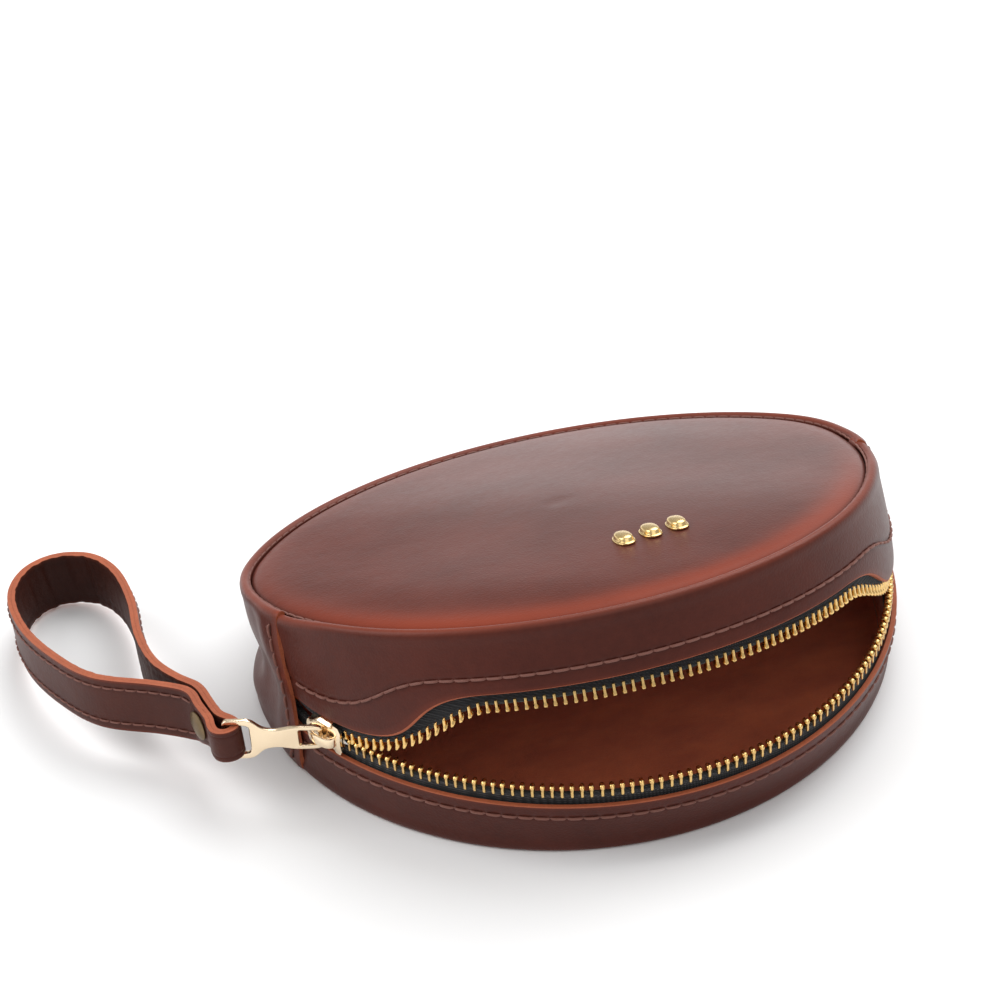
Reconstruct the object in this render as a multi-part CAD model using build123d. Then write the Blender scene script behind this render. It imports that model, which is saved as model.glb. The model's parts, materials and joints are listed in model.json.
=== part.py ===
from build123d import *
import math
import os

# Round zip case of stitched leather with a wrist strap, lying open on its bottom panel. Millimetres.
# Origin: centre of the case, on its flat underside. +X runs to the right, -Y to the middle of the zip.
# A place along the zip is given by its bearing: 0 at the front (-Y), positive towards +X.

# case
CASE_RADIUS = 101.0          # front half of the plan is half a circle
BACK_DEPTH = 84.0            # centre to the back of the plan
CORNER_RADIUS = 60.0         # arcs that join the front circle to the back arc
CLOSED_HEIGHT = 50.0         # underside to the top seam with the zip shut
LEATHER = 1.8
LIP_WIDTH = 3.2              # wall leather turned in over the edge of a panel
LIP_BEVEL = 1.4              # corner between the lip and the wall
LIP_ROOT = 0.4               # extra thickness inside that corner
PANEL_GAP = 0.2
CROWN = 3.5                  # rise of the middle of the top panel
FOLD_DEPTH = 15.0            # how far the back wall creases inwards while the case is open
FOLD_CORNER = 50.0           # corner arcs along that crease
SEAM_GAP = 0.4               # degrees between the back wall and the ends of the zip bands

# lid motion
REST_OPENING = 18.5          # degrees that the lid stands open
PIVOT_Y = -8.0               # the lid turns about a line parallel to X at the height of the zip
PIVOT_Z = CLOSED_HEIGHT / 2

# zip
ZIP_HALF_ANGLE = 82.0
ZIP_BULGE = 1.5              # the wall stands out this much at the zip
ZIP_GAP = 11.0               # leather edge to leather edge with the zip shut
TAPE_RADIUS = 99.4           # inner face of both tapes
TAPE_THICKNESS = 0.6
TAPE_HIDDEN = 6.5            # part of the tape sewn behind the leather
TOOTH_PITCH = 2.8
TOOTH_LENGTH = 1.35          # along the zip
TOOTH_DEPTH = 2.4            # through the tape
TOOTH_REACH = 3.4            # across the tape, from its edge to the tooth's tip
TOOTH_MESH = 0.8             # how far a tip passes the middle of the zip
TOOTH_CHAMFER = 0.35
TEETH_END = 5.0              # degrees before the zip's end where both rows stop
STOP_END = 3.0               # degrees before the zip's end where the stops sit
STOP_SIZE = (2.2, 3.2)       # along the zip, through the tape
STOP_OVERLAP = 1.5           # how far a stop reaches over the tape or the zip's middle
STOP_GAP = 0.2               # from each top stop to the middle of the zip

# slider
SLIDER_BEARING = -66.5
SLIDER_LENGTH = 14.0
SLIDER_HEIGHT = 9.6
PLATE = 1.2
PLATE_SPACING = 3.5          # clear space between the two plates
BRIDGE_SPACE = 2.4           # room for the pull under the bridge
BRIDGE_LENGTH = 8.0
BRIDGE_HEIGHT = 5.0
SHIELD = ((-1.0, 0.62), (0.35, 1.0), (1.0, 0.8))   # plate corners, as shares of half the size
WEDGE = ((-1.5, 0.0), (1.8, 1.6), (4.6, 0.0))      # splits the rows: along the zip, half height
WEDGE_AT = 1.5

# pull tab
PULL_LENGTH = 29.0
PULL_THICKNESS = 1.4
PULL_HEADING = 157.0         # degrees from +X, seen from above
PULL_BAR = 2.0               # bar at the strap end
PULL_EDGE = ((-0.65, 4.3), (8.0, 4.3), (12.5, 3.0), (PULL_LENGTH - 10, 7.3), (PULL_LENGTH, 7.3))
PULL_SLOT = (0.65, 6.6, 6.2)   # start, end, width of the slot for the bridge
PULL_EYE = (6.4, 12.0)         # length and width of the eye for the strap

# wrist strap
STRAP_WIDTH = 18.0
STRAP_END_WIDTH = 10.2       # tapered end that goes through the pull
STRAP_TAPER = (7.0, 24.0)    # from the bar: where the strap starts to widen and where it is full
STRAP_REACH = 138.0          # more than the strap's whole length
STRAP_LAYER = 1.4
STRAP_HEADING = 101.0
STRAP_DROOP = 7.0            # degrees that the strap slopes down from the pull
STRAP_WRAP = 2.2             # inner radius where it turns round the bar
STEM_HALF = 1.7              # middle of one run to the middle of the two-run stem
LAYER_GAP = 0.02             # glue line between the two layers
RIVET_AT = 12.5              # along the stem
RIVET_POST = 1.6
RIVET_HEAD = 4.6
RIVET_RISE = 1.3
RIVET_CLEARANCE = 0.4

# studs
STUD_CENTRE = (12.0, -53.0)
STUD_SPACING = 8.6
STUD_SIZE = (6.2, 10.2, 2.8)
STUD_SEAT = 0.35             # keeps a flat head clear of the crowned panel
POST_RADIUS = 0.8
POST_LENGTH = 1.4            # post below the panel
WASHER = (2.6, 0.85, 0.6)    # outer radius, hole radius, thickness

WALL_HEIGHT = (CLOSED_HEIGHT - ZIP_GAP) / 2


def on_bearing(radius, bearing, z=0.0):
    """The point at a radius and a bearing round the case."""
    a = math.radians(bearing)
    return Vector(radius * math.sin(a), -radius * math.cos(a), z)


def opened(shape, share=1.0):
    """Turns a piece from the closed case towards the lid's rest position."""
    axis = Axis((0, PIVOT_Y, PIVOT_Z), (1, 0, 0))
    return shape.rotate(axis, -REST_OPENING * share)


def back_arcs(offset, depth, corner):
    """Points on the right half of the back outline: side, middle of the corner arc, joint, back."""
    back = ((CASE_RADIUS - corner) ** 2 + depth**2 - corner**2) / (2 * (depth - corner))
    corner_centre = Vector(CASE_RADIUS - corner, 0)
    back_centre = Vector(0, depth - back)
    outward = (corner_centre - back_centre).normalized()
    side = Vector(CASE_RADIUS + offset, 0)
    middle_angle = math.atan2(outward.Y, outward.X) / 2
    on_corner = Vector(math.cos(middle_angle), math.sin(middle_angle)) * (corner + offset)
    joint = back_centre + outward * (back + offset)
    top = Vector(0, depth + offset)
    return side, corner_centre + on_corner, joint, top


def mirrored(point):
    """The same point on the left side."""
    return Vector(-point.X, point.Y)


def plan_edges(offset, start, depth=BACK_DEPTH, corner=CORNER_RADIUS):
    """Arcs round the back of the plan, between the bearings +start and -start."""
    side, on_corner, joint, top = back_arcs(offset, depth, corner)
    radius = CASE_RADIUS + offset
    half = (start + 90) / 2
    return [
        ThreePointArc(on_bearing(radius, start), on_bearing(radius, half), side),
        ThreePointArc(side, on_corner, joint),
        ThreePointArc(joint, top, mirrored(joint)),
        ThreePointArc(mirrored(joint), mirrored(on_corner), mirrored(side)),
        ThreePointArc(mirrored(side), on_bearing(radius, -half), on_bearing(radius, -start)),
    ]


def plan_face(offset):
    """The whole plan, grown by an offset."""
    start = 45
    radius = CASE_RADIUS + offset
    front = ThreePointArc(on_bearing(radius, -start), on_bearing(radius, 0), on_bearing(radius, start))
    return make_face(plan_edges(offset, start) + [front])


def back_strip(outer, inner, depth=BACK_DEPTH, corner=CORNER_RADIUS):
    """Flat strip round the back of the plan, between two offsets."""
    start = ZIP_HALF_ANGLE + SEAM_GAP
    outside = plan_edges(outer, start, depth, corner)
    inside = plan_edges(inner, start, depth, corner)
    right = Line(outside[0] @ 0, inside[0] @ 0)
    left = Line(outside[-1] @ 1, inside[-1] @ 1)
    return make_face(outside + inside + [left, right])


def round_zip(profile, half_angle=ZIP_HALF_ANGLE):
    """Turns a closed outline of (radius, z) points round the zip's bearings."""
    face = make_face(Plane.XZ * Polyline(*profile, close=True))
    return revolve(face.rotate(Axis.Z, -90 - half_angle), Axis.Z, 2 * half_angle)


def wall_profile(panel_z, edge_z):
    """Section of a zip band: a lip over the panel, then a wall that leans out to the zip."""
    up = 1 if edge_z > panel_z else -1
    r = CASE_RADIUS
    edge_r = r + ZIP_BULGE
    return [
        (r - LIP_WIDTH, panel_z),
        (r - LIP_BEVEL, panel_z),
        (r, panel_z + up * LIP_BEVEL),
        (edge_r, edge_z),
        (edge_r - LEATHER, edge_z),
        (r - LEATHER, panel_z + up * (LEATHER + LIP_ROOT)),
        (r - LIP_WIDTH, panel_z + up * LEATHER),
    ]


PANEL_RADIUS = CASE_RADIUS - LIP_WIDTH - PANEL_GAP
CROWN_RADIUS = (PANEL_RADIUS**2 + CROWN**2) / (2 * CROWN)


def make_top_panel():
    """Slice of a spherical shell, cut to the plan."""
    centre = Pos(0, 0, CLOSED_HEIGHT + CROWN - CROWN_RADIUS)
    shell = centre * Sphere(CROWN_RADIUS) - centre * Sphere(CROWN_RADIUS - LEATHER)
    low = CLOSED_HEIGHT - 2 * LEATHER
    column = Pos(0, 0, low) * extrude(plan_face(-LIP_WIDTH - PANEL_GAP), 2 * LEATHER + 2 * CROWN)
    return opened(column & shell)


def make_back_gusset():
    """Back wall: two strips that meet in an inward crease, with a lip at each panel."""
    low = Pos(0, 0, LEATHER) * back_strip(0, -LEATHER)
    crease_strip = back_strip(0, -LEATHER, BACK_DEPTH - FOLD_DEPTH, FOLD_CORNER)
    crease = opened(Pos(0, 0, PIVOT_Z) * crease_strip, 0.5)
    high = opened(Pos(0, 0, CLOSED_HEIGHT - LEATHER) * back_strip(0, -LEATHER))
    lip = extrude(back_strip(0, -LIP_WIDTH), LEATHER)
    top_lip = opened(Pos(0, 0, CLOSED_HEIGHT - LEATHER) * lip)
    return loft([low, crease], ruled=True) + loft([crease, high], ruled=True) + lip + top_lip


def tape_profile(leather_edge, up):
    teeth_edge = PIVOT_Z + up * (TOOTH_REACH - TOOTH_MESH)
    hidden = leather_edge + up * TAPE_HIDDEN
    return [
        (TAPE_RADIUS, hidden),
        (TAPE_RADIUS + TAPE_THICKNESS, hidden),
        (TAPE_RADIUS + TAPE_THICKNESS, teeth_edge),
        (TAPE_RADIUS, teeth_edge),
    ]


def make_teeth(up, shift):
    """One row of teeth, from the slider's mouth to the stop; up is -1 for the lower row."""
    step = math.degrees(TOOTH_PITCH / (TAPE_RADIUS + TAPE_THICKNESS))
    first = SLIDER_BEARING + math.degrees((SLIDER_LENGTH / 2 + 1.5) / TAPE_RADIUS)
    last = ZIP_HALF_ANGLE - TEETH_END
    root = PIVOT_Z + up * (TOOTH_REACH - TOOTH_MESH)
    middle = root - up * TOOTH_REACH / 2
    tooth = Box(TOOTH_LENGTH, TOOTH_DEPTH, TOOTH_REACH)
    tooth = chamfer(tooth.faces().sort_by(Axis.Z)[0 if up > 0 else -1].edges(), TOOTH_CHAMFER)
    teeth = []
    for i in range(int((last - first) / step)):
        bearing = first + (i + shift) * step
        place = on_bearing(TAPE_RADIUS + TAPE_THICKNESS / 2, bearing, middle)
        teeth.append(Pos(place) * Rot(0, 0, bearing) * tooth)
    return teeth


def on_slider(shape):
    """Places a shape made at the front (bearing 0, y outwards = -Y) at the slider's bearing."""
    return shape.rotate(Axis.Z, SLIDER_BEARING)


def slider_plate(radius):
    """Shield outline, pointed towards the closed end, at the height of the zip."""
    half, tall = SLIDER_LENGTH / 2, SLIDER_HEIGHT / 2
    edge = [(half * x, tall * z) for x, z in SHIELD]
    outline = [(x, -z) for x, z in edge] + edge[::-1]
    face = Plane.XZ * make_face(FilletPolyline(*outline, close=True, radius=PLATE))
    plate = extrude(face, PLATE, dir=(0, -1, 0))
    return Pos(0, -radius, PIVOT_Z) * plate


def make_slider_body():
    inner = TAPE_RADIUS + TAPE_THICKNESS / 2 - PLATE_SPACING / 2
    outer_plate = slider_plate(inner + PLATE_SPACING)
    inner_plate = slider_plate(inner - PLATE)
    back, widest, front = WEDGE
    outline = Polyline(back, (widest[0], -widest[1]), front, widest, close=True)
    wedge = extrude(Plane.XZ * make_face(outline), PLATE_SPACING, dir=(0, -1, 0))
    wedge = Pos(WEDGE_AT, -inner, PIVOT_Z) * wedge
    return on_slider(outer_plate + inner_plate + wedge)


OUTER_FACE = TAPE_RADIUS + TAPE_THICKNESS / 2 + PLATE_SPACING / 2 + PLATE
PULL_AXIS_RADIUS = OUTER_FACE + BRIDGE_SPACE / 2


def make_slider_bridge():
    """Arch along the outer plate that holds the pull tab."""
    rise = BRIDGE_SPACE + PLATE
    arch = Box(BRIDGE_LENGTH + 2 * PLATE, rise, BRIDGE_HEIGHT)
    room = Pos(0, PLATE / 2, 0) * Box(BRIDGE_LENGTH, BRIDGE_SPACE, BRIDGE_HEIGHT + 1)
    arch = fillet((arch - room).edges().filter_by(Axis.Z).group_by(Axis.Y)[0], 0.8)
    return on_slider(Pos(0, -OUTER_FACE - rise / 2, PIVOT_Z) * arch)


PULL_PIVOT = on_bearing(PULL_AXIS_RADIUS, SLIDER_BEARING, PIVOT_Z)
STRAP_PIVOT = PULL_PIVOT + Vector(PULL_LENGTH - PULL_BAR / 2, 0).rotate(Axis.Z, PULL_HEADING)


def make_pull_tab():
    """Flat frame: a slotted head on the slider's bridge, a waist, and a wide eye for the strap."""
    outline = list(PULL_EDGE) + [(x, -z) for x, z in reversed(PULL_EDGE)]
    plate = make_face(FilletPolyline(*outline, close=True, radius=0.6))
    start, end, width = PULL_SLOT
    slot = Pos((start + end) / 2, 0) * Rectangle(end - start, width)
    eye = Pos(PULL_LENGTH - PULL_BAR - PULL_EYE[0] / 2, 0) * RectangleRounded(*PULL_EYE, 0.8)
    flat = plate - slot - eye
    solid = extrude(Plane.XZ * flat, PULL_THICKNESS / 2, both=True)
    return Pos(PULL_PIVOT) * Rot(0, 0, PULL_HEADING) * solid


def corner_radii(points):
    """The largest arc that each corner of a closed outline leaves room for."""
    radii = []
    for i, here in enumerate(points):
        before, after = Vector(*points[i - 1]), Vector(*points[(i + 1) % len(points)])
        a, b = Vector(*here) - before, after - Vector(*here)
        turn = math.radians(a.get_angle(b))
        radii.append(0.45 * min(a.length, b.length) / math.tan(turn / 2))
    return radii


def strap_placed(shape):
    """Moves a strap piece from its own frame (pivot at the origin, strap along +X) into place."""
    return Pos(STRAP_PIVOT) * Rot(0, 0, STRAP_HEADING) * Rot(0, STRAP_DROOP, 0) * shape


def strap_loop():
    """Middle line of the strap: round the bar, along a two-run stem, then a tear-shaped loop."""
    wrap = STRAP_WRAP + STRAP_LAYER
    points = [
        (-wrap, -wrap), (-wrap, wrap), (2.0, wrap), (7.0, STEM_HALF), (19.0, STEM_HALF),
        (30.0, 9.0), (48.0, 22.0), (83.0, 27.0), (117.0, 19.0), (126.0, 2.0), (115.0, -13.0),
        (90.0, -12.0), (60.0, 0.5), (34.0, 3.0), (19.0, -STEM_HALF), (7.0, -STEM_HALF),
        (2.0, -wrap),
    ]
    return make_face(FilletPolyline(*points, close=True, radius=corner_radii(points)))


def strap_side():
    """Side view of the strap: a narrow end that widens to full width."""
    half, end = STRAP_WIDTH / 2, STRAP_END_WIDTH / 2
    start, full = STRAP_TAPER
    edge = [(-10, end), (start, end), (full, half), (STRAP_REACH, half)]
    outline = edge + [(x, -z) for x, z in reversed(edge)]
    return extrude(Plane.XZ * make_face(Polyline(*outline, close=True)), STRAP_REACH, both=True)


def strap_layer(outer, inner):
    band = extrude(outer - inner, STRAP_WIDTH / 2, both=True)
    hole = Pos(RIVET_AT, 0, 0) * Rot(90, 0, 0) * Cylinder(RIVET_POST, 40)
    return strap_placed((band & strap_side()) - hole)


def make_rivet():
    """Post through both runs of the stem, and a domed cap on each side."""
    half = STEM_HALF + STRAP_LAYER + RIVET_CLEARANCE
    turn = Pos(RIVET_AT, 0, 0) * Rot(90, 0, 0)
    post = turn * Cylinder(RIVET_POST - 0.1, 2 * half)
    dome = Cylinder(RIVET_HEAD, RIVET_RISE, align=(Align.CENTER, Align.CENTER, Align.MIN))
    dome = fillet(dome.edges().group_by(Axis.Z)[-1], 0.7 * RIVET_RISE)
    cap = turn * Pos(0, 0, half) * dome
    back = turn * Rot(180, 0, 0) * Pos(0, 0, half) * dome
    return strap_placed(cap), strap_placed(back), strap_placed(post)


def stud_places():
    return [(STUD_CENTRE[0] + i * STUD_SPACING, STUD_CENTRE[1]) for i in (-1, 0, 1)]


def panel_height(x, y):
    """Top face of the crowned panel with the lid shut."""
    drop = CROWN_RADIUS - math.sqrt(CROWN_RADIUS**2 - x**2 - y**2)
    return CLOSED_HEIGHT + CROWN - drop


def make_studs():
    """Heads on the panel, prongs through it, washers inside."""
    heads, posts, washers = [], [], []
    width, length, height = STUD_SIZE
    outer, hole, thickness = WASHER
    down = (Align.CENTER, Align.CENTER, Align.MAX)
    for x, y in stud_places():
        z = panel_height(x, y) + STUD_SEAT
        base = extrude(RectangleRounded(width, length, width * 0.45), height)
        head = fillet(base.faces().sort_by(Axis.Z)[-1].edges(), width * 0.35)
        heads.append(opened(Pos(x, y, z) * head))
        below = z - 2 * STUD_SEAT - LEATHER
        washer = Cylinder(outer, thickness, align=down) - Cylinder(hole, 4 * thickness)
        washers.append(opened(Pos(x, y, below) * washer))
        post = Cylinder(POST_RADIUS, LEATHER + POST_LENGTH, align=down)
        posts.append(opened(Pos(x, y, z) * post))
    return heads, posts, washers


def stop_at(bearing, low, high):
    """Small clamp on the tape between two heights."""
    block = fillet(Box(*STOP_SIZE, high - low).edges().filter_by(Axis.Z), 0.4)
    place = on_bearing(TAPE_RADIUS + TAPE_THICKNESS / 2, bearing, (low + high) / 2)
    return Pos(place) * Rot(0, 0, bearing) * block


def cut_out(shape, *others):
    """The shape without the room that other pieces take."""
    for other in others:
        shape = shape - other
    return shape


lower_edge = WALL_HEIGHT
upper_edge = CLOSED_HEIGHT - WALL_HEIGHT
teeth_low = PIVOT_Z - TOOTH_REACH + TOOTH_MESH
teeth_high = PIVOT_Z + TOOTH_REACH - TOOTH_MESH
end_bearing = ZIP_HALF_ANGLE - STOP_END

bottom_stop = stop_at(-end_bearing, teeth_low - STOP_OVERLAP, PIVOT_Z + STOP_OVERLAP)
lower_top_stop = stop_at(end_bearing, teeth_low - STOP_OVERLAP, PIVOT_Z - STOP_GAP)
upper_top_stop = opened(stop_at(end_bearing, PIVOT_Z + STOP_GAP, teeth_high + STOP_OVERLAP))
lower_tape = round_zip(tape_profile(lower_edge, -1), ZIP_HALF_ANGLE - 0.6)
upper_tape = opened(round_zip(tape_profile(upper_edge, 1), ZIP_HALF_ANGLE - 0.6))
stud_heads, stud_posts, stud_washers = make_studs()
rivet_cap, rivet_back, rivet_post = make_rivet()
loop = strap_loop()

pieces = {
    "bottom_panel": extrude(plan_face(-LIP_WIDTH - PANEL_GAP), LEATHER),
    "lower_zip_band": round_zip(wall_profile(0, lower_edge)),
    "back_gusset": make_back_gusset(),
    "lower_zip_tape": cut_out(lower_tape, bottom_stop, lower_top_stop),
    "lower_zip_teeth": make_teeth(-1, 0.0),
    "zip_bottom_stop": bottom_stop,
    "lower_top_stop": lower_top_stop,
    "top_panel": cut_out(make_top_panel(), *stud_posts),
    "upper_zip_band": opened(round_zip(wall_profile(CLOSED_HEIGHT, upper_edge))),
    "upper_zip_tape": cut_out(upper_tape, upper_top_stop),
    "upper_zip_teeth": [opened(tooth) for tooth in make_teeth(1, 0.5)],
    "upper_top_stop": upper_top_stop,
    "stud_heads": stud_heads,
    "stud_posts": stud_posts,
    "stud_washers": stud_washers,
    "slider_body": make_slider_body(),
    "slider_bridge": make_slider_bridge(),
    "pull_tab": make_pull_tab(),
    "strap_outer": strap_layer(offset(loop, STRAP_LAYER), offset(loop, LAYER_GAP)),
    "strap_lining": strap_layer(loop, offset(loop, -STRAP_LAYER)),
    "strap_rivet_cap": rivet_cap,
    "strap_rivet_back": rivet_back,
    "strap_rivet_post": rivet_post,
}

os.makedirs("parts", exist_ok=True)
for node, shape in pieces.items():
    if isinstance(shape, list):
        shape = Compound(children=shape)
    export_step(shape, f"parts/{node}.step")
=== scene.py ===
import json
import math
import random

import bmesh
import bpy
import numpy as np
from mathutils import Matrix, Vector


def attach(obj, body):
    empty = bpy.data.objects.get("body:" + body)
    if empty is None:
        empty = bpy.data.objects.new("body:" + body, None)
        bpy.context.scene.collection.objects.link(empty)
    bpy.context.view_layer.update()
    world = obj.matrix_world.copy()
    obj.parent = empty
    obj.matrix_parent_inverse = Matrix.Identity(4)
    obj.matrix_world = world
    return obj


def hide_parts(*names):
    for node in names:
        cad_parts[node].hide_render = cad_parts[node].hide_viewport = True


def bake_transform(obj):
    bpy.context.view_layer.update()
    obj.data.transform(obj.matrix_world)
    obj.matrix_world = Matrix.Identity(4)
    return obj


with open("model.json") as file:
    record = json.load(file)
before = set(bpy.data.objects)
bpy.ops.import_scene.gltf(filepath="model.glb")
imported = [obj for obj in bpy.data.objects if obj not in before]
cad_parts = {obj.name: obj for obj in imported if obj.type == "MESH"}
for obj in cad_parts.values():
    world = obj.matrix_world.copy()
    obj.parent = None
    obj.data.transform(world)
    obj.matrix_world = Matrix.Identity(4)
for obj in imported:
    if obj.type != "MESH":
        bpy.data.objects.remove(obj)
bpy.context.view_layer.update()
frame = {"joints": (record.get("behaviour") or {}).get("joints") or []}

# All sizes below are millimetres; meshes are scaled to metres when they are made.
MM = 0.001

# ---------------- sizes shared with the frame
JOINTS = {j["name"]: j for j in frame["joints"]}
HINGE = JOINTS["lid_hinge"]
PIVOT_Y = HINGE["pos_m"][1] / MM
PIVOT_Z = HINGE["pos_m"][2] / MM
OPENING = math.radians(-HINGE["range_deg"][0])
CLOSED_HEIGHT = 2 * PIVOT_Z
CASE_RADIUS = 101.0
BACK_DEPTH = 84.0
CORNER_RADIUS = 60.0
FLOOR_GAP = 0.02             # lowest leather stands this far off the floor
LEATHER = 1.7
ZIP_END = 82.0               # bearing of both ends of the zip
ZIP_GAP = 11.0               # height of the opening between the bands' zip edges
LOWER_EDGE = (CLOSED_HEIGHT - ZIP_GAP) / 2
TAPE_RADIUS = 99.7           # middle of the tapes
TOOTH_PITCH = 2.8
SLIDER_BEARING = -66.5
SEAM_BEARING = {-1: 75.5, 1: 80.0}   # left and right front edges of the back wall, lapped over the bands
STITCH_PITCH = 4.7
SHARP_EDGE = math.radians(40)

# The plan is a front half circle, a rounded corner on each side and one wide arc across the back.
BACK_RADIUS = ((CASE_RADIUS - CORNER_RADIUS) ** 2 + BACK_DEPTH**2 - CORNER_RADIUS**2) / (
    2 * (BACK_DEPTH - CORNER_RADIUS)
)
CORNER_END = math.degrees(math.atan2(CASE_RADIUS - CORNER_RADIUS, BACK_DEPTH - BACK_RADIUS))

random.seed(7)


# ---------------- placing points
def smooth(t):
    """Eased step from 0 to 1."""
    t = np.clip(t, 0, 1)
    return t * t * (3 - 2 * t)


def unit(rows):
    return rows / np.linalg.norm(rows, axis=1)[:, None]


def around(count):
    """Evenly spaced angles of a full turn."""
    return np.arange(count) * 2 * math.pi / count


def squared(wave, power):
    """A sine or cosine made fuller, so that a round section gets flatter sides."""
    return np.sign(wave) * abs(wave) ** power


def mirrored(z):
    """The height of the closed case's lower half that matches one of its upper half."""
    return max(CLOSED_HEIGHT - z, FLOOR_GAP)


def toward(azimuth, elevation):
    """Unit vector from the case towards a view; azimuth 0 is in front and 90 on the right."""
    a, e = math.radians(azimuth), math.radians(elevation)
    return Vector((math.sin(a) * math.cos(e), -math.cos(a) * math.cos(e), math.sin(e)))


def plan(bearing, offset):
    """Points of the plan at bearings in degrees (0 = front, +90 = right), moved out by an offset."""
    bearing, offset = np.broadcast_arrays(np.asarray(bearing, float), np.asarray(offset, float))
    b = (bearing + 180) % 360 - 180
    side = np.sign(b)
    a = np.radians(b)
    on_corner = (abs(b) > 90) & (abs(b) <= CORNER_END)
    on_back = abs(b) > CORNER_END
    radius = np.where(on_back, BACK_RADIUS, np.where(on_corner, CORNER_RADIUS, CASE_RADIUS)) + offset
    cx = np.where(on_corner, side * (CASE_RADIUS - CORNER_RADIUS), 0.0)
    cy = np.where(on_back, BACK_DEPTH - BACK_RADIUS, 0.0)
    return cx + radius * np.sin(a), cy - radius * np.cos(a)


def opened(p, weight=1.0):
    """Turns closed-case points about the lid's hinge line, by a share of the rest opening."""
    a = OPENING * np.asarray(weight)
    y, z = p[..., 1] - PIVOT_Y, p[..., 2] - PIVOT_Z
    out = p.copy()
    out[..., 1] = PIVOT_Y + y * np.cos(a) + z * np.sin(a)
    out[..., 2] = PIVOT_Z - y * np.sin(a) + z * np.cos(a)
    return out


BEND_PASSES = 80
BEND_RATE = 0.35


def bent(p, bend):
    """Opens leather that bends: it stays with the base before the bend's first point and turns with the lid
    after its second."""
    start, end = (np.array(point) for point in bend)
    along = (end - start) / ((end - start) @ (end - start))
    weight = np.ones(p.shape[:-1])
    for _ in range(BEND_PASSES):
        weight += BEND_RATE * (smooth((opened(p, weight) - start) @ along) - weight)
    return opened(p, weight)


# Bends, as two points of the open case. The rows of teeth part near the slider on the left and
# near the stops on the right, so the upper band and its zip are made as a left and a right half.
PARTING = {-1: 93.0, 1: 98.0}         # distance from the middle where each end starts to part
WALL_BEND = ((0.0, 0.0, 2.5), (0.0, 0.0, 19.0))
BAND_BEND = {side: ((side * x, 0.0, 25.0), (side * (x - 8.4), 0.0, 61.5)) for side, x in PARTING.items()}
ZIP_BEND = {side: ((side * x, 0.0, 25.0), (side * (x - 38.0), 0.0, 25.0)) for side, x in PARTING.items()}
SPANS = {-1: (-84.0, 0.0), 0: (-84.0, 84.0), 1: (0.0, 84.0)}   # bearings; 0 is both halves in one


def lean(bearing):
    """How far the lower band flops outwards, most just right of the middle."""
    return 3.6 * np.exp(-(((bearing - 14) / 42) ** 2))


WALL_BULGE = 1.5             # of the closed case's wall, at the height of the zip


def wall_shift(bearing, z, base):
    """Departure of the wall from the plan, outwards, at a height of the closed case."""
    b = abs((bearing + 180) % 360 - 180)
    front = 1 - smooth((b - ZIP_END) / 14)
    bulge = WALL_BULGE * np.exp(-(((z - PIVOT_Z) / 13) ** 2)) * front
    pinch = 3.4 * np.exp(-(((b - 86) / 8) ** 2)) * np.exp(-(((z - PIVOT_Z) / 9) ** 2))
    crease = (1.5 + 12.0 * smooth((b - 92) / 62)) * np.exp(-(((z - PIVOT_Z - 1) / 8.5) ** 2))
    crease *= smooth((b - 84) / 10)
    belly = 1.8 * smooth((b - 86) / 20) * np.exp(-(((z - 9) / 7) ** 2))
    flop = lean(bearing) * smooth(z / LOWER_EDGE) ** 1.3 if base else 0
    return bulge - pinch - crease + belly + flop


def wall_points(bearing, offset, z, base=False):
    """Closed-case points of the wall."""
    x, y = plan(bearing, offset + wall_shift(bearing, z, base))
    return np.stack([x, y, z + 0 * x], -1)


# ---------------- meshes
def linked(name, data):
    made = bpy.data.objects.new(name, data)
    bpy.context.scene.collection.objects.link(made)
    return made


def mesh_object(name, points, faces, materials, indices):
    mesh = bpy.data.meshes.new(name)
    mesh.from_pydata([tuple(p) for p in np.asarray(points) * MM], [], [tuple(f) for f in faces])
    for m in materials:
        mesh.materials.append(m)
    mesh.polygons.foreach_set("material_index", indices)
    mesh.polygons.foreach_set("use_smooth", [True] * len(mesh.polygons))
    mesh.set_sharp_from_angle(angle=SHARP_EDGE)
    mesh.validate()
    mesh.update()
    return linked(name, mesh)


def paint(piece, name, values):
    """Stores one number per vertex for the material to read."""
    attribute = piece.data.attributes.new(name, "FLOAT", "POINT")
    attribute.data.foreach_set("value", np.asarray(values, np.float32).ravel())


def grid_faces(rows, columns, wrap_rows=False, wrap_columns=False, start=0):
    faces = []
    for i in range(rows if wrap_rows else rows - 1):
        for j in range(columns if wrap_columns else columns - 1):
            i2, j2 = (i + 1) % rows, (j + 1) % columns
            faces.append([start + i * columns + j, start + i * columns + j2,
                          start + i2 * columns + j2, start + i2 * columns + j])
    return faces


def end_faces(rows, columns):
    """The first and last sections of a skin, as two faces."""
    return [list(range(columns))[::-1], [(rows - 1) * columns + j for j in range(columns)]]


def solid_faces(rows, columns):
    """Skin through closed sections, with both ends shut."""
    return grid_faces(rows, columns, wrap_columns=True) + end_faces(rows, columns)


def loft_mesh(name, sections, materials, strip=None, cap=0, closed=False):
    """Skins closed sections (rows of points). strip gives each profile segment's material."""
    rows, columns = sections.shape[:2]
    faces = grid_faces(rows, columns, wrap_rows=closed, wrap_columns=True)
    indices = [strip[k % columns] if strip else 0 for k in range(len(faces))]
    if not closed:
        faces += end_faces(rows, columns)
        indices += [cap, cap]
    return outward(mesh_object(name, sections.reshape(-1, 3), faces, materials, indices))


def outward(piece):
    """Turns every face outwards."""
    bm = bmesh.new()
    bm.from_mesh(piece.data)
    bmesh.ops.recalc_face_normals(bm, faces=bm.faces)
    bm.to_mesh(piece.data)
    bm.free()
    piece.data.set_sharp_from_angle(angle=SHARP_EDGE)
    return piece


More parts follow.
